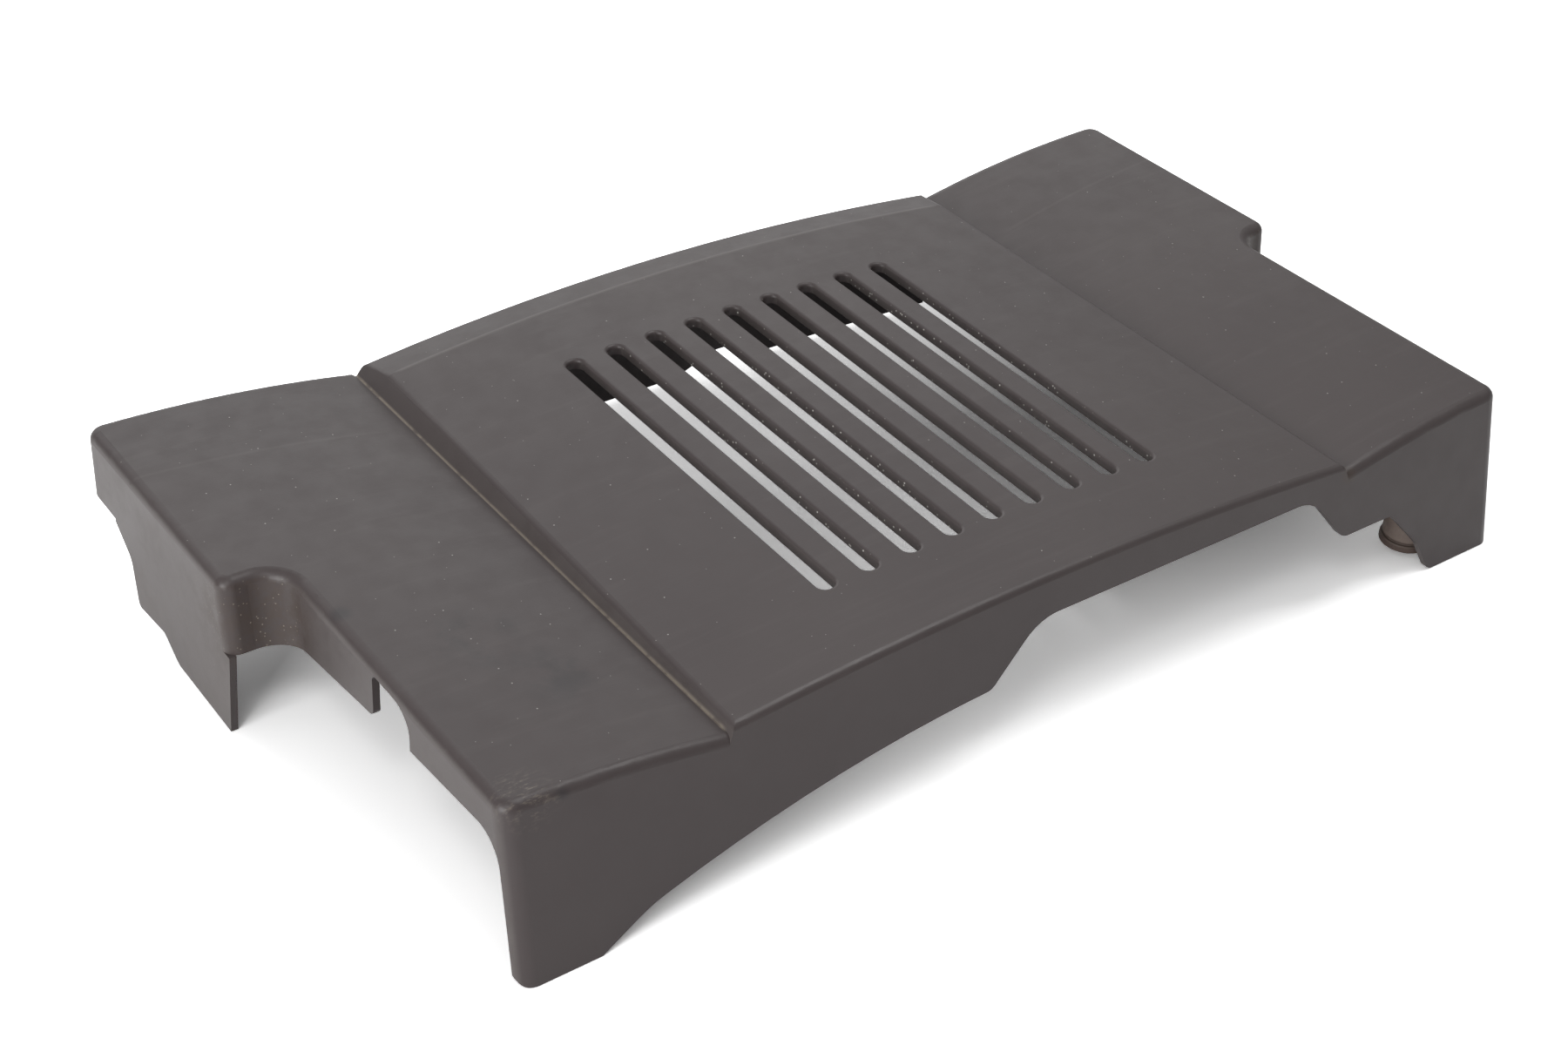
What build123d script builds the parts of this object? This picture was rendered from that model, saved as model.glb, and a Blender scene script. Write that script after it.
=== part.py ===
from build123d import *
from math import radians, tan
import os

os.makedirs("parts", exist_ok=True)

# A slotted plastic engine cover with four pressed-in rubber mounts.
# X runs along the cover, Y to the back, Z up; the floor it stands on is Z = 0.
# A length whose name ends in _y is measured back from the foot of the front skirt.

# Outline of the skirts where they reach the floor
cover_depth = 305.5
rear_half_width = 275.0
notch_width = 25.0
right_wing_extra = 3.5
rear_wing_depth = 127.5
groove_x = 156.4
wing_back_rise = 4.8
panel_back_set = 9.5
panel_back_bow = 5.0
notch_inner_radius = 14.0
notch_outer_radius = 6.0
rear_corner_radius = 8.0
front_corner_radius = 7.0
draft_angle = 1.0
front_slope = 11.3
notch_slope = 7.2
notch_foot_set = 9.3

# Heights of the top, and the rounding of its edges
panel_top_z = 74.5
panel_crown = 6.5
groove_depth = 6.0
dome_rise = 9.5
dome_inset = 13.0
wing_fall_angle = 0.8
panel_lean = 1.4
panel_rear_lean = 6.4
band_depth = 22.5
band_drop_angle = 9.5
band_crown = 7.4
top_edge_radius = 4.5
panel_edge_radius = 3.0
wall = 3.0
least_inner_radius = 0.5

# Lower edge of the front skirt: rise, arch, step, straight middle, shelf, knee and foot
left_foot_width = 29.0
front_rise_run = 25.0
front_rise_z = 11.2
front_rise_radius = 60.0
front_arch_z = 28.9
front_step_x = -38.0
front_step_z = 36.6
front_step_radius = 6.0
front_step_run = 24.7
front_lip = 4.0
front_edge_left_radius = 26.0
front_edge_right_radius = 18.0
front_fall_run = 19.0
front_shelf_z = 34.7
front_shelf_width = 30.2
front_shelf_left_radius = 8.0
front_shelf_right_radius = 5.0
foot_rise_run = 26.0
foot_knee_run = 7.5
foot_knee_z = 14.8
foot_knee_radius = 4.0
right_foot_width = 42.0
foot_radius = 5.0
foot_corner_radius = 3.5

# Lower edge of the side skirts, as drops below the wing's top: leg, edge, gap, tab and notch wall
leg_depth = 6.2
side_edge_front_drop = 13.5
side_edge_rear_drop = 19.0
side_edge_radius = 14.0
side_slot_y = 78.0
side_slot_width = 27.5
side_slot_drop = 3.2
side_slot_front_radius = 11.0
side_slot_rear_radius = 3.0
side_tab_drop = 22.8
side_tab_radius = 3.0
notch_edge_drop = 32.5
notch_edge_run = 8.0
plate_end_set = 1.0

# Lower edge of the rear plates: step, tab and the rise to the back corner
plate_step_length = 37.5
plate_step_z = 8.0
plate_step_run = 12.5
plate_step_lead = 10.0
plate_step_radius = 8.0
plate_lift_radius = 5.0
plate_tab_drop = 3.0
plate_tab_radius = 2.5
plate_rise_length = 19.0
plate_rise_run = 3.5
plate_rise_drop = 12.0
plate_rise_radius = 8.0
rear_edge_z = 38.5
rear_edge_set = 23.0
rear_edge_radius = 6.0

# Lower edge of the back skirt: raised ends, feet and one low gap
back_end_width = 60.0
back_end_radius = 10.0
back_foot_run = 25.0
back_foot_radius = 8.0
back_edge_z = 2.0
back_gap_x = 12.0
back_gap_width = 49.0
back_gap_rise = 9.0
back_gap_left_run = 22.0
back_gap_right_run = 7.0
back_gap_left_radius = 6.0
back_gap_right_radius = 4.0

# Slots in the centre panel
slot_count = 9
slot_pitch = 20.45
slot_width = 7.8
slot_front_set = 59.5
slot_rear_set = 67.5
slot_lip_radius = 1.5
slot_field_depth = 1.5
slot_field_margin = 6.0

# Rubber mounts and the bosses that hold them
mount_front_inset = 35.0
mount_front_y = 18.0
mount_rear_inset = 37.0
mount_rear_set = 33.0
mount_foot_z = 4.0
mount_height = 17.0
flange_radius = 11.3
flange_thickness = 3.5
flange_rounding = 0.7
body_radius = 10.5
waist_depth = 0.6
waist_height = 1.0
boss_radius = 10.5
neck_radius = 6.0
neck_length = 14.0
neck_clearance = 0.05
socket_radius = 5.0
socket_depth = 11.0
socket_lead = 1.0
gusset_thickness = 2.5
gusset_reach = 24.0
gusset_rise = 11.0

# How far the cuts reach in from the outside, and past the edges they run out of
cut_margin = 2.0
side_cut_reach = 13.0
back_cut_reach = 25.0
corner_pick = 0.5

# Places across the cover
front_half_width = rear_half_width - notch_width
front_right_x = front_half_width + right_wing_extra
wing_top_x = rear_half_width - dome_inset
panel_half_width = groove_x - panel_lean
panel_rear_half_width = groove_x - panel_rear_lean
front_arch_x = left_foot_width - front_half_width
front_rise_x = front_arch_x + front_rise_run
front_edge_left_x = front_step_x + front_step_run
front_foot_x = front_right_x - right_foot_width
foot_knee_x = front_foot_x - foot_knee_run
front_shelf_right_x = front_foot_x - foot_rise_run
front_shelf_left_x = front_shelf_right_x - front_shelf_width
front_edge_right_x = front_shelf_left_x - front_fall_run
rear_edge_x = rear_half_width - back_end_width
back_foot_x = rear_edge_x - back_foot_run
front_sides = ((-1, front_half_width), (1, front_right_x))
mount_front_x = front_half_width - mount_front_inset
mount_rear_x = rear_half_width - mount_rear_inset
slot_field_half_width = slot_pitch * (slot_count - 1) / 2 + slot_width / 2 + slot_field_margin
far = 2 * rear_half_width

# Heights
panel_edge_z = panel_top_z - panel_crown
groove_z = panel_edge_z - groove_depth
groove_fall = cover_depth / 2 * tan(radians(wing_fall_angle))
groove_front_z = groove_z + groove_fall
groove_rear_z = groove_z - groove_fall
wing_top_z = groove_z + dome_rise
front_edge_z = groove_z - front_lip
side_edge_front_z = wing_top_z - side_edge_front_drop
side_edge_rear_z = wing_top_z - side_edge_rear_drop
side_slot_z = wing_top_z - side_slot_drop
side_tab_z = wing_top_z - side_tab_drop
notch_edge_z = wing_top_z - notch_edge_drop
back_gap_z = back_edge_z + back_gap_rise
boss_foot_z = mount_foot_z + mount_height
gusset_foot_z = boss_foot_z + gusset_rise
block_height = panel_top_z + 5 * wall

# Places from front to back
front_place = -cover_depth / 2
front_cut_y = front_edge_z * tan(radians(front_slope)) + 2 * wall
notch_y = cover_depth - rear_wing_depth
notch_foot_y = notch_y - notch_foot_set
band_y = cover_depth - band_depth
slot_rear_y = cover_depth - slot_rear_set
rear_edge_y = cover_depth - rear_edge_set
plate_tab_y = rear_edge_y - plate_rise_length
plate_step_y = plate_tab_y - plate_step_length
mount_rear_y = cover_depth - mount_rear_set
slot_field_front_y = slot_front_set - slot_width / 2 - slot_field_margin
slot_field_rear_y = slot_rear_y + slot_width / 2 + slot_field_margin
wing_back_slope = wing_back_rise / (rear_half_width - groove_x)
rear_corner_y = (
    cover_depth
    + rear_corner_radius * (wing_back_slope + (1 + wing_back_slope**2) ** 0.5 - 1)
    + rear_edge_z * tan(radians(draft_angle))
)
wing_back_y = rear_corner_y - wing_back_rise
panel_back_y = rear_corner_y - panel_back_set

# The wings' dome and the panel's crown, drawn a little past their edges
dome_radius = ((wing_top_x - groove_x) ** 2 + dome_rise**2) / (2 * dome_rise)
dome_z = wing_top_z - dome_radius
dome_reach = wing_top_x - groove_x + 15 * wall
crown_reach = groove_x + 15 * wall


def fy(distance):
    """Place a distance measured back from the front foot in the cover's frame."""
    return front_place + distance


def panel_width(z, edge_half_width, foot_z, inset):
    """Half width of the raised panel at a height, its side wall leaning in from its foot in the groove."""
    lean = (groove_x - edge_half_width) / (panel_edge_z - foot_z)
    return groove_x - lean * (z - foot_z) - inset * (1 + lean**2) ** 0.5


def notch_wall_y(z):
    """Distance of the notch wall from the front foot at a height: it leans back as it rises."""
    return notch_foot_y + z * tan(radians(notch_slope))


def skirt_prism(inset):
    """Block inside the skirts, notched at both sides, cut by the sloped front and set in by a wall."""
    with BuildPart() as prism:
        with BuildSketch() as outline:
            with BuildLine():
                Polyline(
                    (0, fy(0)),
                    (rear_half_width, fy(0)),
                    (rear_half_width, fy(rear_corner_y)),
                    (groove_x, fy(wing_back_y)),
                    (groove_x, fy(panel_back_y)),
                )
                ThreePointArc(
                    (groove_x, fy(panel_back_y)),
                    (groove_x / 2, fy(panel_back_y + 3 * panel_back_bow / 4)),
                    (0, fy(panel_back_y + panel_back_bow)),
                )
                mirror(about=Plane.YZ)
            make_face()
            for side in (-1, 1):
                fillet(corner(outline, side * rear_half_width, fy(rear_corner_y)), rear_corner_radius)
            if inset > 0:
                offset(amount=-inset, kind=Kind.INTERSECTION, mode=Mode.REPLACE)
        extrude(amount=block_height, taper=draft_angle)
        for side, front_x in front_sides:
            lean = Vector(-side * tan(radians(draft_angle)), tan(radians(notch_slope)), 1)
            notch_foot = Vector(side * (front_x - inset), fy(notch_foot_y + inset), 0)
            with BuildSketch(Plane(origin=notch_foot, x_dir=(0, 1, 0), z_dir=lean)) as notch:
                Rectangle(far, far, align=(Align.MAX, Align.MAX if side > 0 else Align.MIN))
                fillet(corner(notch, 0, 0), notch_inner_radius + inset)
            extrude(amount=far, both=True, mode=Mode.SUBTRACT)
            outer_foot = Vector(side * (rear_half_width - inset), fy(notch_foot_y + inset), 0)
            outer_middle = outer_foot + lean * (block_height / 2)
            notch_edge = prism.edges().sort_by(lambda e: (e.center() - outer_middle).length)[0]
            fillet(notch_edge, notch_outer_radius - inset)
        front_plane = Plane(
            origin=(0, fy(inset), 0),
            x_dir=(1, 0, 0),
            z_dir=Vector(0, 1, 0).rotate(Axis.X, -front_slope),
        )
        split(bisect_by=front_plane, keep=Keep.TOP)
    return prism.part


def dome_end_z(inset):
    """Height of the level that joins the wings under the panel, where their domes stop."""
    return dome_z + ((dome_radius - inset) ** 2 - dome_reach**2) ** 0.5


def wing_block(inset):
    """Block under the two domed wings, running through the skirts, with a low level between the wings."""
    low_z = dome_end_z(inset)
    inner_x = wing_top_x - dome_reach
    outer_x = wing_top_x + dome_reach
    with BuildPart() as block:
        with BuildSketch(Plane.XZ.rotated((-wing_fall_angle, 0, 0))):
            with BuildLine():
                Line((0, low_z), (inner_x, low_z))
                ThreePointArc((inner_x, low_z), (wing_top_x, wing_top_z - inset), (outer_x, low_z))
                Polyline((outer_x, low_z), (outer_x, -block_height), (0, -block_height))
                mirror(about=Plane.YZ)
            make_face()
        extrude(amount=far, both=True)
    return block.part


def crowned_section(crown):
    """Closed line under a crown that starts at the origin and falls by its size to the panel's edge."""
    radius = (panel_half_width**2 + crown**2) / (2 * crown)
    side_z = (radius**2 - crown_reach**2) ** 0.5 - radius
    ThreePointArc((-crown_reach, side_z), (0, 0), (crown_reach, side_z))
    Polyline((crown_reach, side_z), (crown_reach, -far), (-crown_reach, -far), (-crown_reach, side_z))


def panel_block(inset):
    """Raised centre panel: leaning side walls, a crowned top and a band that falls to the back."""
    top = Plane(origin=(0, fy(band_y), panel_top_z - inset), x_dir=(1, 0, 0), z_dir=(0, -1, 0))
    with BuildPart() as block:
        for z in (dome_end_z(inset) - wall, block_height):
            with BuildSketch(Plane.XY.offset(z)):
                front_half = panel_width(z, panel_half_width, groove_front_z, inset)
                rear_half = panel_width(z, panel_rear_half_width, groove_rear_z, inset)
                with BuildLine():
                    Polyline(
                        (-front_half, fy(0)),
                        (front_half, fy(0)),
                        (rear_half, fy(cover_depth)),
                        (-rear_half, fy(cover_depth)),
                        close=True,
                    )
                make_face()
        loft(ruled=True)
        band = top.rotated((-band_drop_angle, 0, 0))
        for section_plane, crown in ((top, panel_crown), (band, band_crown)):
            with BuildSketch(section_plane):
                with BuildLine():
                    crowned_section(crown)
                make_face()
            extrude(amount=far, both=True, mode=Mode.INTERSECT)
    return block.part


def front_corner_edges(body):
    """The two upright edges where the front meets the side skirts."""
    upright = body.edges().filter_by(lambda e: abs(e.tangent_at(0.5).Z) > 0.9)
    at_front = upright.filter_by(lambda e: e.center().Y < fy(front_cut_y))
    return at_front.filter_by(lambda e: abs(e.center().X) > groove_x + wall)


def wing_rim_edges(body):
    """The outer edges of the wings' tops, without the groove."""
    tops = body.faces().filter_by(lambda f: f.normal_at().Z > 0.9 and abs(f.center().X) > groove_x)
    return tops.edges().filter_by(lambda e: abs(e.center().X) > groove_x + wall)


def corner(sketch, x, y):
    """The corner of a sketch that stands at a given place."""
    return sketch.vertices().filter_by(lambda v: abs(v.X - x) < corner_pick and abs(v.Y - y) < corner_pick)


def round_corners(sketch, corners):
    """Round each corner (x, y, radius) of a sketch that has a radius."""
    for x, y, radius in corners:
        if radius > 0:
            fillet(corner(sketch, x, y), radius)


# The wings and the panel of the outside, each with its edges rounded before they are joined
with BuildPart() as wings:
    add(skirt_prism(0))
    add(wing_block(0), mode=Mode.INTERSECT)
    fillet(front_corner_edges(wings), front_corner_radius)
    fillet(wing_rim_edges(wings), top_edge_radius)
with BuildPart() as panel:
    add(skirt_prism(0))
    add(panel_block(0), mode=Mode.INTERSECT)
    panel_tops = panel.faces().filter_by(lambda f: f.normal_at().Z > 0.8)
    fillet(panel_tops.edges().filter_by(lambda e: abs(e.center().Y - fy(band_y)) > wall), panel_edge_radius)
with BuildPart() as outside:
    add(wings.part)
    add(panel.part)

# Bosses under the wings, each a tube with four gussets that rise out of it, kept inside the skirts
gusset_foot_x = boss_radius - gusset_thickness
mount_places = {
    "front_left": (-mount_front_x, fy(mount_front_y)),
    "front_right": (mount_front_x, fy(mount_front_y)),
    "rear_left": (-mount_rear_x, fy(mount_rear_y)),
    "rear_right": (mount_rear_x, fy(mount_rear_y)),
}
with BuildPart() as bosses:
    with BuildSketch(Plane.XY.offset(boss_foot_z)):
        with Locations(*mount_places.values()):
            Circle(boss_radius)
    extrude(amount=block_height)
    for along, across in (((1, 0, 0), (0, -1, 0)), ((0, 1, 0), (1, 0, 0))):
        for place in mount_places.values():
            with BuildSketch(Plane(origin=(*place, 0), x_dir=along, z_dir=across)):
                with BuildLine():
                    Polyline(
                        (-gusset_foot_x, gusset_foot_z),
                        (gusset_foot_x, gusset_foot_z),
                        (gusset_reach, panel_top_z),
                        (-gusset_reach, panel_top_z),
                        close=True,
                    )
                make_face()
            extrude(amount=gusset_thickness / 2, both=True)
    add(outside.part, mode=Mode.INTERSECT)

# The hollow under it, an even wall inside the wings, the panel and the skirts
with BuildPart() as hollow:
    add(wing_block(wall))
    add(panel_block(wall))
    add(skirt_prism(wall), mode=Mode.INTERSECT)
    fillet(front_corner_edges(hollow), max(front_corner_radius - wall, least_inner_radius))
    fillet(wing_rim_edges(hollow), max(top_edge_radius - wall, least_inner_radius))

# The thicker field under the panel that carries the slots
with BuildPart() as slot_field:
    add(panel_block(wall / 2))
    add(panel_block(wall + slot_field_depth), mode=Mode.SUBTRACT)
    with BuildSketch(Plane.XY.offset(groove_z)):
        with Locations((0, fy((slot_field_front_y + slot_field_rear_y) / 2))):
            Rectangle(2 * slot_field_half_width, slot_field_rear_y - slot_field_front_y)
    extrude(amount=block_height, mode=Mode.INTERSECT)

# The cover: the shell, its skirts cut to shape along the lower edge
with BuildPart() as cover:
    add(outside.part)
    add(hollow.part, mode=Mode.SUBTRACT)

    # Front skirt: long arch on the left, straight middle, shelf and foot on the right
    front_corners = (
        (front_step_x, front_step_z, front_step_radius),
        (front_edge_left_x, front_edge_z, front_edge_left_radius),
        (front_edge_right_x, front_edge_z, front_edge_right_radius),
        (front_shelf_left_x, front_shelf_z, front_shelf_left_radius),
        (front_shelf_right_x, front_shelf_z, front_shelf_right_radius),
        (foot_knee_x, foot_knee_z, foot_knee_radius),
        (front_foot_x, 0, foot_radius),
        (front_rise_x, front_rise_z, front_rise_radius),
    )
    with BuildSketch(Plane.XZ.offset(-fy(front_cut_y))) as front_cut:
        with BuildLine():
            ThreePointArc(
                (front_rise_x, front_rise_z),
                ((front_rise_x + front_step_x) / 2, front_arch_z),
                (front_step_x, front_step_z),
            )
            Polyline(
                *[(x, z) for x, z, radius in front_corners[:-1]],
                (front_foot_x + foot_radius, 0),
                (front_foot_x + foot_radius, -cut_margin),
                (front_arch_x, -cut_margin),
                (front_rise_x, front_rise_z),
            )
        make_face()
        round_corners(front_cut, front_corners)
    extrude(amount=far, mode=Mode.SUBTRACT)

    # Outer corners of the front feet
    with BuildSketch(Plane.XZ.offset(-fy(front_cut_y))):
        for side, front_x in front_sides:
            round_x = side * (front_x - foot_corner_radius)
            with Locations((round_x + side * foot_corner_radius, 0)):
                Rectangle(2 * foot_corner_radius, 2 * foot_corner_radius)
            with Locations((round_x, foot_corner_radius)):
                Circle(foot_corner_radius, mode=Mode.SUBTRACT)
    extrude(amount=far, mode=Mode.SUBTRACT)

    # Side skirts: a shallow edge and a gap behind the front leg, a tab, the notch wall and the rear plate
    leg_top_y = leg_depth + side_edge_front_z * tan(radians(front_slope))
    slot_end_y = side_slot_y + side_slot_width
    notch_end_y = notch_y + wall + plate_end_set
    past_back_y = cover_depth + back_cut_reach
    side_corners = (
        (fy(leg_depth), -cut_margin, 0),
        (fy(leg_top_y), side_edge_front_z, side_edge_radius),
        (fy(side_slot_y), side_edge_rear_z, 0),
        (fy(side_slot_y), side_slot_z, side_slot_front_radius),
        (fy(slot_end_y), side_slot_z, side_slot_rear_radius),
        (fy(slot_end_y), side_tab_z, side_tab_radius),
        (fy(notch_end_y - notch_edge_run), notch_edge_z, 0),
        (fy(notch_end_y), notch_edge_z, 0),
        (fy(notch_end_y), -cut_margin, 0),
    )
    plate_corners = (
        (fy(plate_step_y - plate_step_lead), -cut_margin, 0),
        (fy(plate_step_y - plate_step_lead), 0, 0),
        (fy(plate_step_y), 0, plate_step_radius),
        (fy(plate_step_y + plate_step_run), plate_step_z, plate_lift_radius),
        (fy(plate_tab_y), plate_step_z - plate_tab_drop, plate_tab_radius),
        (fy(plate_tab_y + plate_rise_run), rear_edge_z - plate_rise_drop, plate_rise_radius),
        (fy(rear_edge_y), rear_edge_z, rear_edge_radius),
        (fy(past_back_y), rear_edge_z, 0),
        (fy(past_back_y), -cut_margin, 0),
    )
    for side, front_x in front_sides:
        for half_width, corners in ((front_x, side_corners), (rear_half_width, plate_corners)):
            with BuildSketch(Plane.YZ.offset(side * (half_width - side_cut_reach))) as side_cut:
                with BuildLine():
                    Polyline(*[(y, z) for y, z, radius in corners], close=True)
                make_face()
                round_corners(side_cut, corners)
            extrude(amount=side * far, mode=Mode.SUBTRACT)

    # Front ends of the rear plates, square under the notch wall's corner and leaning back to the floor
    plate_root_y = notch_end_y + wall
    for side in (-1, 1):
        for z, end_y in ((0, notch_y), (notch_edge_z, notch_wall_y(notch_edge_z))):
            plate_end_x = rear_half_width - wall / 2 - z * tan(radians(draft_angle))
            with BuildSketch(Plane.XY.offset(z)):
                with Locations((side * plate_end_x, fy((end_y + plate_root_y) / 2))):
                    Rectangle(wall, plate_root_y - end_y)
        loft(ruled=True)

    # Back skirt: cut away at both ends, with one low gap
    gap_end_x = back_gap_x + back_gap_width
    back_corners = (
        (-far, -cut_margin, 0),
        (-far, rear_edge_z, 0),
        (-rear_edge_x, rear_edge_z, back_end_radius),
        (-back_foot_x, back_edge_z, back_foot_radius),
        (back_gap_x, back_edge_z, back_gap_left_radius),
        (back_gap_x + back_gap_left_run, back_gap_z, back_gap_left_radius),
        (gap_end_x - back_gap_right_run, back_gap_z, back_gap_right_radius),
        (gap_end_x, back_edge_z, back_gap_right_radius),
        (back_foot_x, back_edge_z, back_foot_radius),
        (rear_edge_x, rear_edge_z, back_end_radius),
        (far, rear_edge_z, 0),
        (far, -cut_margin, 0),
    )
    with BuildSketch(Plane.XZ.offset(-fy(past_back_y))) as back_cut:
        with BuildLine():
            Polyline(*[(x, z) for x, z, radius in back_corners], close=True)
        make_face()
        round_corners(back_cut, back_corners)
    extrude(amount=2 * back_cut_reach, mode=Mode.SUBTRACT)

    # Bosses and the blind bores that take the mounts' necks
    add(bosses.part)
    with BuildSketch(Plane.XY.offset(boss_foot_z)):
        with Locations(*mount_places.values()):
            Circle(neck_radius + neck_clearance)
    extrude(amount=neck_length + neck_clearance, mode=Mode.SUBTRACT)

    # Slots through the panel and its thicker field, with the upper lips rounded
    add(slot_field.part)
    with BuildSketch(Plane.XY.offset(groove_z - wall)):
        with Locations((0, fy((slot_rear_y + slot_front_set) / 2))):
            with GridLocations(slot_pitch, 0, slot_count, 1):
                SlotCenterToCenter(slot_rear_y - slot_front_set, slot_width, rotation=90)
    extrude(amount=block_height, mode=Mode.SUBTRACT)
    panel_top = cover.faces().filter_by(lambda f: f.normal_at().Z > 0.9).sort_by(SortBy.AREA)[-1]
    fillet(panel_top.inner_wires().edges(), slot_lip_radius)
cover.part.label = "cover"
export_step(cover.part, "parts/cover.step")

# Rubber mounts: a flanged buffer with a neck pressed into the boss and a ball socket in its foot
flange_top_z = mount_foot_z + flange_thickness
waist_top_z = flange_top_z + waist_height
socket_top_z = mount_foot_z + socket_depth
neck_top_z = boss_foot_z + neck_length
for name, (mount_x, mount_y) in mount_places.items():
    with BuildPart() as mount:
        with BuildSketch(Plane(origin=(mount_x, mount_y, 0), x_dir=(1, 0, 0), z_dir=(0, -1, 0))) as section:
            with BuildLine():
                Polyline(
                    (0, socket_top_z),
                    (socket_radius, socket_top_z),
                    (socket_radius, mount_foot_z + socket_lead),
                    (socket_radius + socket_lead, mount_foot_z),
                    (flange_radius, mount_foot_z),
                    (flange_radius, flange_top_z),
                    (body_radius - waist_depth, flange_top_z),
                    (body_radius - waist_depth, waist_top_z),
                    (body_radius, waist_top_z),
                    (body_radius, boss_foot_z),
                    (neck_radius, boss_foot_z),
                    (neck_radius, neck_top_z),
                    (0, neck_top_z),
                    close=True,
                )
            make_face()
            round_corners(
                section,
                (
                    (flange_radius, mount_foot_z, flange_rounding),
                    (flange_radius, flange_top_z, flange_rounding),
                ),
            )
        revolve(axis=Axis((mount_x, mount_y, 0), (0, 0, 1)))
    mount.part.label = "mount_" + name
    export_step(mount.part, "parts/mount_" + name + ".step")
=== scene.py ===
import math
from types import SimpleNamespace

import bpy
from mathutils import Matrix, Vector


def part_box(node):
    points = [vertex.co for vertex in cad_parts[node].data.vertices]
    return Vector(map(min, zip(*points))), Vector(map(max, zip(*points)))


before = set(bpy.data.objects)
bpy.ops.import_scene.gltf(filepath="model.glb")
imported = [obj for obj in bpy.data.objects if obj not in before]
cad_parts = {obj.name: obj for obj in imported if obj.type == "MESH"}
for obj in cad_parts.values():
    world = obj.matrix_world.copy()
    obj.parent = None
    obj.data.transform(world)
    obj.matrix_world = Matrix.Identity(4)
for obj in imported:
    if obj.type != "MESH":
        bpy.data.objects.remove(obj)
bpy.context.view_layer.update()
bpy.ops.object.select_all(action="DESELECT")
scene = bpy.context.scene
scene.view_settings.view_transform = "Standard"


# Cover: the one-piece shell of the engine cover, with its slotted panel, wings and skirts.
# It is injection moulded in charcoal plastic with a fine satin grain, and it has been used:
# a thin film of dust, pale specks, tan dust in the grooves, dirt in the notches, marks at one corner.
# Some of the colour is painted light: the side faces are lightened beyond their dust, and a faint line over
# each wing is a painted highlight.
charcoal = (0.0440, 0.0345, 0.0345, 1.0)
charcoal_faded = (0.0500, 0.0400, 0.0395, 1.0)
charcoal_smudged = (0.0240, 0.0210, 0.0225, 1.0)
# The pale film colour serves as dust, and as painted light on the side faces and over the wings.
dust_film_and_painted_light = (0.1050, 0.0930, 0.0890, 1.0)
dust_tan = (0.3400, 0.2950, 0.2350, 1.0)
dirt_brown = (0.0500, 0.0360, 0.0300, 1.0)
speck_white = (0.6200, 0.6000, 0.5600, 1.0)

# Places are measured from the cover's edges or its middle: x runs to the right, y to the back and z up
cover_low, cover_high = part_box("cover")
left_x = cover_low.x
right_x = cover_high.x
front_y = cover_low.y
rear_y = cover_high.y
top_z = cover_high.z
soft_edge = 0.004

groove_x = right_x - 0.1186
groove_z = top_z - 0.0125
groove_fall = 0.0140
groove_front_y = front_y + 0.01575
groove_half_width = 0.0008
groove_half_depth = 0.0030
groove_end_dirt = (groove_x + 0.0013, front_y + 0.01275, top_z - 0.0115)
groove_end_reach = 0.006

crease_y = rear_y - 0.02244
crease_bow = 0.0054
crease_end_x = groove_x - 0.0074
crease_end_fade = 0.006
crease_half_width = 0.0016

wing_line_x = groove_x + 0.0337
wing_line_y = 0.0978
wing_line_slope = 0.108
wing_line_half_width = 0.0014
wing_line_start_x = groove_x + 0.006
wing_line_full_x = groove_x + 0.020

notch_place = (right_x - 0.0190, 0.0260, top_z - 0.0225)
notch_reach = 0.0360
slots_end_x = 0.0900
slots_front_y = -0.0990
slots_rear_y = 0.0910
side_dust_top_z = 0.055
side_dust_low_z = 0.010

# Each mark has a place and a reach
marked_corner = (left_x + 0.0375, front_y + 0.01825, top_z - 0.0025)
marked_corner_reach = 0.016
dark_marks = (
    ((left_x + 0.0499, front_y + 0.01275, top_z - 0.0040), 0.0045),
    ((left_x + 0.0312, front_y + 0.13885, top_z - 0.0030), 0.0060),
)
smudges = (
    ((left_x + 0.0678, front_y + 0.10165, top_z - 0.0055), 0.0260),
    ((left_x + 0.0821, front_y + 0.07045, top_z - 0.0075), 0.0240),
)

# Shares of a spot's reach, a line's half width and a speck's size that are at full strength
solid_share = 0.2
speck_core = 0.5


def fill(tree, socket, value):
    """Link a socket to another one, or set it to a plain value."""
    if isinstance(value, bpy.types.NodeSocket):
        tree.links.new(value, socket)
    else:
        socket.default_value = value


def add_node(tree, kind, **sockets):
    """Add a shader node and fill its input sockets by name."""
    made = tree.nodes.new("ShaderNode" + kind)
    for name, value in sockets.items():
        fill(tree, made.inputs[name.replace("_", " ")], value)
    return made


def maths(tree, operation, first, second=0.0):
    """One sum on two values or sockets."""
    made = add_node(tree, "Math")
    made.operation = operation
    fill(tree, made.inputs[0], first)
    fill(tree, made.inputs[1], second)
    return made.outputs["Value"]


def span(tree, value, start, end, low=0.0, high=1.0):
    """A smooth step from low to high as a value goes from start to end."""
    if start > end:
        start, end, low, high = end, start, high, low
    made = add_node(tree, "MapRange", Value=value, From_Min=start, From_Max=end, To_Min=low, To_Max=high)
    made.interpolation_type = "SMOOTHSTEP"
    return made.outputs["Result"]


def both(tree, *masks):
    """Where every mask holds."""
    result = masks[0]
    for mask in masks[1:]:
        result = maths(tree, "MULTIPLY", result, mask)
    return result


def coat(tree, under, over, mask, strength=1.0):
    """Lay one colour over another through a mask; a strength under 1 lays it thinner."""
    made = add_node(tree, "Mix")
    made.data_type = "RGBA"
    fill(tree, made.inputs["Factor"], maths(tree, "MULTIPLY", mask, strength))
    under_socket, over_socket = [socket for socket in made.inputs if socket.type == "RGBA"]
    fill(tree, under_socket, under)
    fill(tree, over_socket, over)
    return next(socket for socket in made.outputs if socket.type == "RGBA")


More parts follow.
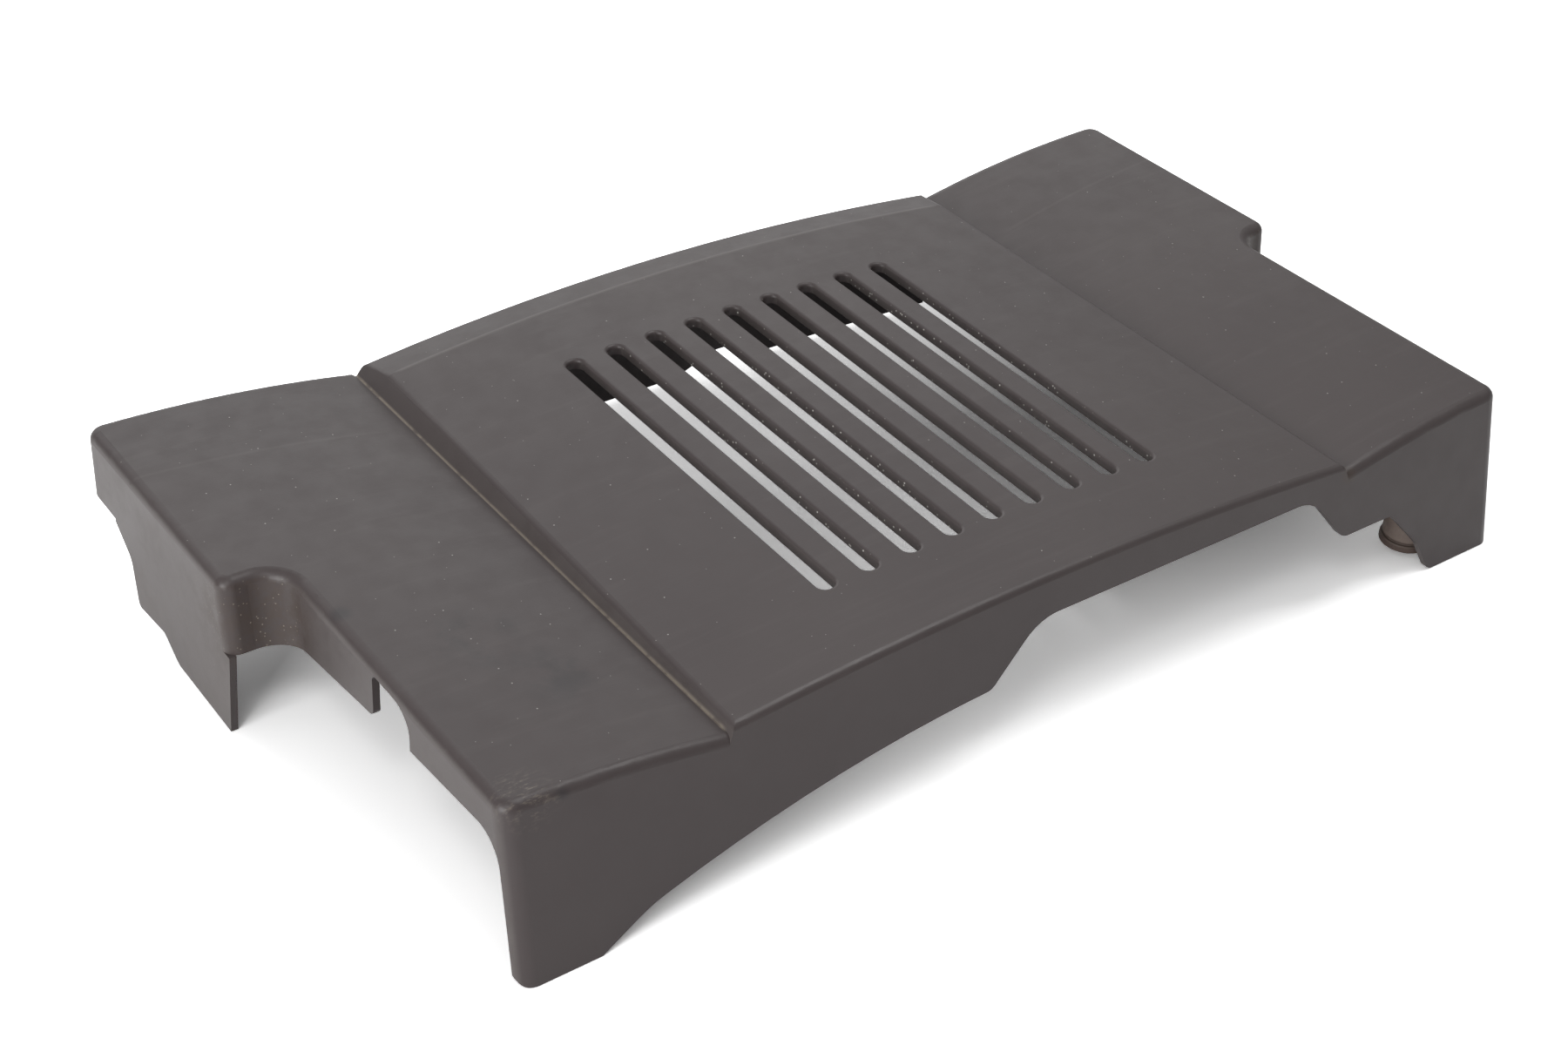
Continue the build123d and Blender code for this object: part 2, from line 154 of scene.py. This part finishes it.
def noise(tree, place, scale, detail, roughness=0.5):
    """Cloudy noise on the object's own coordinates."""
    made = add_node(tree, "TexNoise", Vector=place, Scale=scale, Detail=detail, Roughness=roughness)
    return made.outputs["Fac"]


def near_point(tree, place, point, reach):
    """1 at a point, falling to 0 at its reach."""
    made = add_node(tree, "VectorMath")
    made.operation = "DISTANCE"
    fill(tree, made.inputs[0], place)
    fill(tree, made.inputs[1], point)
    return span(tree, made.outputs["Value"], reach, reach * solid_share)


def near_line(tree, value, line, half_width):
    """1 where a value meets a line, falling to 0 at the line's half width."""
    off = maths(tree, "ABSOLUTE", maths(tree, "SUBTRACT", value, line))
    return span(tree, off, half_width, half_width * solid_share)


def specks(tree, place, scale, size, share, flat=False):
    """Round specks of dust: a share of the cells of a scattered pattern, each with one spot."""
    cells = add_node(tree, "TexVoronoi", Vector=place, Scale=scale)
    cells.voronoi_dimensions = "2D" if flat else "3D"
    spot = span(tree, cells.outputs["Distance"], size, size * speck_core)
    chosen = add_node(tree, "SeparateColor", Color=cells.outputs["Color"]).outputs["Red"]
    return both(tree, spot, maths(tree, "LESS_THAN", chosen, share))


def read_surface(tree):
    """Where a point of the cover lies, how it faces and which region it is in, as sockets."""
    place = add_node(tree, "TexCoord").outputs["Object"]
    axes = add_node(tree, "SeparateXYZ", Vector=place).outputs
    normal = add_node(tree, "NewGeometry").outputs["Normal"]
    facing = add_node(tree, "SeparateXYZ", Vector=normal).outputs
    across = maths(tree, "ABSOLUTE", axes["X"])
    mirrored = add_node(tree, "CombineXYZ", X=across, Y=axes["Y"], Z=axes["Z"]).outputs["Vector"]
    upright = span(tree, maths(tree, "ABSOLUTE", facing["Z"]), start=0.75, end=0.35)
    return SimpleNamespace(
        place=place,
        x=axes["X"],
        y=axes["Y"],
        z=axes["Z"],
        across=across,
        upright=upright,
        top=span(tree, facing["Z"], start=0.55, end=0.95),
        side=span(tree, maths(tree, "ABSOLUTE", facing["X"]), start=0.70, end=0.97),
        notch=both(tree, near_point(tree, mirrored, notch_place, notch_reach), upright),
        haze=noise(tree, place, scale=75.0, detail=6.0, roughness=0.65),
    )


def faded(tree, surface):
    """Bare charcoal, faded a little in clouds, with faint rub marks along the cover."""
    clouds = noise(tree, surface.place, scale=9.0, detail=3.0)
    colour = coat(tree, charcoal, charcoal_faded, span(tree, clouds, start=0.35, end=0.68))
    drawn = add_node(tree, "Mapping", Vector=surface.place, Scale=(14.0, 170.0, 60.0)).outputs["Vector"]
    streaks = noise(tree, drawn, scale=1.0, detail=5.0, roughness=0.6)
    rubbed = both(tree, span(tree, streaks, start=0.50, end=0.75), surface.top)
    return coat(tree, colour, dust_film_and_painted_light, rubbed, strength=0.10)


def smudged(tree, colour, surface):
    """Dark smudges and marks on the left wing."""
    smears = noise(tree, surface.place, scale=60.0, detail=4.0, roughness=0.6)
    smeared = span(tree, smears, start=0.42, end=0.66)
    for point, reach in smudges:
        spot = both(tree, near_point(tree, surface.place, point, reach), smeared)
        colour = coat(tree, colour, charcoal_smudged, spot, strength=0.60)
    for point, reach in dark_marks:
        spot = near_point(tree, surface.place, point, reach)
        colour = coat(tree, colour, charcoal_smudged, spot, strength=0.70)
    return colour


def dust_and_painted_light_on_sides(tree, colour, surface):
    """Dust on the side skirts, thicker towards their lower edges, laid over painted light that lightens every
    side-facing face.
    """
    # painted light: every side-facing face gets at least half the pale film; only the thickening towards the
    # lower edges is dust
    dust_and_light_by_height = span(tree, surface.z, side_dust_top_z, side_dust_low_z, low=0.50, high=0.75)
    patchy = span(tree, surface.haze, start=0.25, end=0.60, low=0.6, high=1.0)
    return coat(tree, colour, dust_film_and_painted_light, both(tree, surface.side, dust_and_light_by_height, patchy))


def dusty_grooves(tree, colour, surface):
    """Tan dust in the grooves beside the panel, and dirt where the right one ends."""
    level = maths(tree, "ADD", surface.z, maths(tree, "MULTIPLY", surface.y, groove_fall))
    lumps = noise(tree, surface.place, scale=160.0, detail=3.0)
    lodged = both(
        tree,
        near_line(tree, surface.across, groove_x, groove_half_width),
        near_line(tree, level, groove_z, groove_half_depth),
        span(tree, surface.y, groove_front_y, groove_front_y + soft_edge),
        span(tree, lumps, start=0.28, end=0.50, low=0.35, high=1.0),
    )
    colour = coat(tree, colour, dust_tan, lodged, strength=0.45)
    groove_end = near_point(tree, surface.place, groove_end_dirt, groove_end_reach)
    return coat(tree, colour, dirt_brown, groove_end, strength=0.80)


def pale_crease_and_painted_fold_lines(tree, colour, surface):
    """A pale line along the crease in front of the panel's rear band, and a faint painted highlight line over
    each wing that stands for the shading of a slight fold.
    """
    share = maths(tree, "DIVIDE", surface.x, crease_end_x)
    bow = maths(tree, "MULTIPLY", maths(tree, "MULTIPLY", share, share), crease_bow)
    # a pale line along the crease, on upward faces
    pale_crease = both(
        tree,
        near_line(tree, maths(tree, "ADD", surface.y, bow), crease_y, crease_half_width),
        span(tree, surface.across, crease_end_x, crease_end_x - crease_end_fade),
        span(tree, surface.haze, start=0.30, end=0.60, low=0.4, high=1.0),
        surface.top,
    )
    colour = coat(tree, colour, dust_film_and_painted_light, pale_crease, strength=0.65)

    outward = maths(tree, "SUBTRACT", surface.across, wing_line_x)
    slanted = maths(tree, "SUBTRACT", surface.y, maths(tree, "MULTIPLY", outward, wing_line_slope))
    # painted highlight: a faint light line over each wing for the shading of a slight fold, not dust
    painted_fold_line = both(
        tree,
        near_line(tree, slanted, wing_line_y, wing_line_half_width),
        span(tree, surface.across, wing_line_start_x, wing_line_full_x),
        surface.top,
    )
    return coat(tree, colour, dust_film_and_painted_light, painted_fold_line, strength=0.14)


def dirty_notches(tree, colour, surface):
    """Brown dirt on the notch walls."""
    mottles = noise(tree, surface.place, scale=150.0, detail=5.0, roughness=0.75)
    mottled = span(tree, mottles, start=0.34, end=0.60, low=0.15, high=1.0)
    return coat(tree, colour, dirt_brown, both(tree, surface.notch, mottled), strength=0.90)


def scratched_corner(tree, colour, surface):
    """Small tan scratches at the front left corner."""
    drawn = add_node(tree, "Mapping", Vector=surface.place)
    fill(tree, drawn.inputs["Scale"], (260.0, 900.0, 500.0))
    fill(tree, drawn.inputs["Rotation"], (0.0, 0.0, 0.35))
    strokes = noise(tree, drawn.outputs["Vector"], scale=1.0, detail=4.0, roughness=0.7)
    corner = near_point(tree, surface.place, marked_corner, marked_corner_reach)
    scratched = both(tree, corner, span(tree, strokes, start=0.48, end=0.72))
    return coat(tree, colour, dust_tan, scratched, strength=0.26)


def specked(tree, colour, surface):
    """Pale specks, sparse over the top and thick in the slots, and tan ones in the notches."""
    sparse = specks(tree, surface.place, scale=95.0, size=0.036, share=0.06, flat=True)
    colour = coat(tree, colour, speck_white, both(tree, sparse, surface.top), strength=0.42)
    tiny = specks(tree, surface.place, scale=210.0, size=0.055, share=0.05, flat=True)
    colour = coat(tree, colour, speck_white, both(tree, tiny, surface.top), strength=0.28)
    slots = both(
        tree,
        span(tree, surface.y, slots_front_y, slots_front_y + soft_edge),
        span(tree, surface.y, slots_rear_y, slots_rear_y - soft_edge),
        span(tree, surface.across, slots_end_x, slots_end_x - soft_edge / 2),
        surface.upright,
    )
    thick = specks(tree, surface.place, scale=400.0, size=0.20, share=0.50)
    colour = coat(tree, colour, speck_white, both(tree, thick, slots), strength=0.75)
    fine = specks(tree, surface.place, scale=620.0, size=0.24, share=0.40)
    return coat(tree, colour, dust_tan, both(tree, fine, surface.notch), strength=0.45)


def moulded_plastic():
    """Charcoal moulded plastic with its dust, dirt, specks and marks, some painted light on its sides and
    wings, and a fine satin grain.
    """
    material = bpy.data.materials.new("charcoal_moulded_plastic")
    material.use_nodes = True
    tree = material.node_tree
    surface = read_surface(tree)
    colour = faded(tree, surface)
    for finish in (smudged, dust_and_painted_light_on_sides, dusty_grooves, pale_crease_and_painted_fold_lines, dirty_notches, scratched_corner, specked):
        colour = finish(tree, colour, surface)

    shader = tree.nodes["Principled BSDF"]
    shader.inputs["Specular IOR Level"].default_value = 0.40
    fill(tree, shader.inputs["Base Color"], colour)
    satin = span(tree, surface.haze, start=0.30, end=0.70, low=0.36, high=0.44)
    fill(tree, shader.inputs["Roughness"], satin)
    grain = noise(tree, surface.place, scale=1500.0, detail=2.0)
    grained = add_node(tree, "Bump", Height=grain, Strength=0.10, Distance=0.0002)
    fill(tree, shader.inputs["Normal"], grained.outputs["Normal"])
    return material


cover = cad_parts["cover"]
cover.data.materials.clear()
cover.data.materials.append(moulded_plastic())


# Mounts: four flanged rubber buffers, each pressed by its neck into a boss under the cover.
# They are moulded in brown-black rubber; the body is dusty and the flange has stayed darker.
# The flange's rim carries a painted highlight and the waist painted shade.
mount_names = ("mount_front_left", "mount_front_right", "mount_rear_left", "mount_rear_right")
rubber_dark = (0.070, 0.048, 0.040, 1.0)
rubber_dust_and_highlight = (0.155, 0.121, 0.104, 1.0)
painted_waist_shade = (0.016, 0.012, 0.011, 1.0)

# Heights above the foot, in metres: the flange's upper rim, the waist and the body's lower end
flange_top_z = 0.0075
flange_rim = 0.0007
waist_z = 0.0083
waist_half_height = 0.0005
body_low_z = 0.0085
body_full_z = 0.0095


def dusty_rubber_with_painted_light():
    """Dull rubber, dusty on the body, dark at the flange, with a painted highlight along the flange's rim and
    painted shade in the waist.
    """
    material = bpy.data.materials.new("mount_rubber_with_painted_light")
    material.use_nodes = True
    tree = material.node_tree
    place = add_node(tree, "TexCoord").outputs["Object"]
    height = add_node(tree, "SeparateXYZ", Vector=place).outputs["Z"]
    haze = noise(tree, place, scale=180.0, detail=5.0, roughness=0.65)
    body = span(tree, height, body_low_z, body_full_z)
    patchy = span(tree, haze, start=0.25, end=0.60, low=0.6, high=1.0)
    colour = coat(tree, rubber_dark, rubber_dust_and_highlight, both(tree, body, patchy))
    # painted highlight: a thin pale line along the flange's upper rim
    rim = near_line(tree, height, flange_top_z, flange_rim)
    colour = coat(tree, colour, rubber_dust_and_highlight, rim, strength=0.60)
    # painted shade: a black line in the waist between the body and the flange
    waist = near_line(tree, height, waist_z, waist_half_height)
    colour = coat(tree, colour, painted_waist_shade, waist)

    shader = tree.nodes["Principled BSDF"]
    shader.inputs["Roughness"].default_value = 0.62
    shader.inputs["Specular IOR Level"].default_value = 0.35
    fill(tree, shader.inputs["Base Color"], colour)
    grain = noise(tree, place, scale=900.0, detail=3.0)
    grained = add_node(tree, "Bump", Height=grain, Strength=0.25, Distance=0.0004)
    fill(tree, shader.inputs["Normal"], grained.outputs["Normal"])
    return material


rubber = dusty_rubber_with_painted_light()
for name in mount_names:
    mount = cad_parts[name]
    mount.data.materials.clear()
    mount.data.materials.append(rubber)


# Floor: a wide sheet of white studio paper, not part of the cover.
# The camera sees it white, with the cover's soft shadow. It glows under the cover's back half,
# which shows bright through the slots, and far away, where the lamps don't reach.
floor_size = 30.0
floor_z = -0.0003
floor_white = 0.90
floor_seen = 1.50
floor_shine = 0.20
glow_low = 0.06
glow_high = 0.78
glow_start_y = 0.02
glow_full_y = 0.20
glow_near = 0.60
glow_far = 1.60


def seen_by_camera(tree, shine):
    """1 for what the camera sees, straight or through glass, and a share of it for reflections."""
    ray = add_node(tree, "LightPath").outputs
    seen = maths(tree, "MAXIMUM", ray["Is Camera Ray"], ray["Is Transmission Ray"])
    return maths(tree, "MAXIMUM", seen, maths(tree, "MULTIPLY", ray["Is Glossy Ray"], shine))


def studio_paper():
    """White paper that looks brighter to the camera than to the light that falls on it."""
    material = bpy.data.materials.new("studio_paper")
    material.use_nodes = True
    tree = material.node_tree
    tree.nodes.remove(tree.nodes["Principled BSDF"])
    seen = seen_by_camera(tree, floor_shine)
    lift = maths(tree, "MULTIPLY", seen, floor_seen - floor_white)
    paper = add_node(tree, "BsdfDiffuse", Color=maths(tree, "ADD", lift, floor_white))

    place = add_node(tree, "TexCoord").outputs["Object"]
    depth = add_node(tree, "SeparateXYZ", Vector=place).outputs["Y"]
    by_depth = span(tree, depth, glow_start_y, glow_full_y, glow_low, glow_high)
    away = add_node(tree, "VectorMath", Vector=place)
    away.operation = "LENGTH"
    by_distance = span(tree, away.outputs["Value"], glow_near, glow_far, glow_low, glow_high)
    glowing = maths(tree, "MAXIMUM", by_depth, by_distance)
    glow = add_node(tree, "Emission", Strength=maths(tree, "MULTIPLY", seen, glowing))

    lit = add_node(tree, "AddShader")
    fill(tree, lit.inputs[0], paper.outputs["BSDF"])
    fill(tree, lit.inputs[1], glow.outputs["Emission"])
    fill(tree, tree.nodes["Material Output"].inputs["Surface"], lit.outputs["Shader"])
    return material


bpy.ops.mesh.primitive_plane_add(size=floor_size, location=(0.0, 0.0, floor_z))
floor = bpy.context.active_object
floor.name = "studio_floor"
floor.data.materials.append(studio_paper())


# Light: a white tent with its bright part high behind the cover, darker on the camera's side.
# One soft lamp hangs above on the right, one stands at the left and a small one lights the front corners.
tent_low = 0.80
tent_high = 2.90
tent_low_edge = 0.15
tent_high_edge = 0.60
tent_dim = 0.16
tent_dim_edge = 0.58
tent_bright_edge = 0.90
tent_shine = 0.20
bright_side = (0.20, 0.98, 0.0)


def white_tent():
    """A bright tent round the cover, plain white where the camera sees it."""
    made = bpy.data.worlds.new("white_tent")
    made.use_nodes = True
    tree = made.node_tree
    outward = add_node(tree, "TexCoord").outputs["Generated"]
    height = add_node(tree, "SeparateXYZ", Vector=outward).outputs["Z"]
    towards = add_node(tree, "VectorMath")
    towards.operation = "DOT_PRODUCT"
    fill(tree, towards.inputs[0], outward)
    fill(tree, towards.inputs[1], bright_side)
    by_height = span(tree, height, tent_low_edge, tent_high_edge, tent_low, tent_high)
    by_side = span(tree, towards.outputs["Value"], tent_dim_edge, tent_bright_edge, tent_dim, 1.0)
    seen = seen_by_camera(tree, tent_shine)
    cast = both(tree, by_height, by_side, maths(tree, "SUBTRACT", 1.0, seen))
    tent = tree.nodes["Background"]
    tent.inputs["Color"].default_value = (1.0, 1.0, 1.0, 1.0)
    fill(tree, tent.inputs["Strength"], maths(tree, "ADD", cast, seen))
    return made


def soft_lamp(name, place, aim, width, power):
    """A square soft lamp that stands at a place and shines at a point."""
    data = bpy.data.lights.new(name, "AREA")
    data.size = width
    data.energy = power
    lamp = bpy.data.objects.new(name, data)
    lamp.location = place
    x, y, z = [a - p for a, p in zip(aim, place)]
    lamp.rotation_euler = (math.atan2(math.hypot(x, y), -z), 0.0, math.atan2(-x, y))
    scene.collection.objects.link(lamp)


scene.world = white_tent()
soft_lamp("lamp_above", place=(0.45, -0.05, 1.35), aim=(0.0, 0.0, 0.05), width=0.70, power=7.0)
soft_lamp("lamp_left", place=(-1.40, -0.50, 0.50), aim=(-0.2, -0.05, 0.03), width=0.90, power=16.0)
soft_lamp("lamp_front", place=(-0.70, -0.55, 1.20), aim=(-0.1, -0.05, 0.05), width=0.30, power=1.8)


# Camera: stands to the front left and looks down at the cover, with a slight roll.
# Its place is in metres, its turn in degrees, its lens and sensor in millimetres.
camera_place = (-0.5345, -0.64705, 0.6154)
camera_turn = (54.0997, -3.0475, -35.7142)
camera_lens = 54.48
camera_sensor = 36.0

camera_data = bpy.data.cameras.new("camera")
camera_data.sensor_width = camera_sensor
camera_data.lens = camera_lens
camera = bpy.data.objects.new("camera", camera_data)
camera.location = camera_place
camera.rotation_euler = [math.radians(angle) for angle in camera_turn]
scene.collection.objects.link(camera)
scene.camera = camera
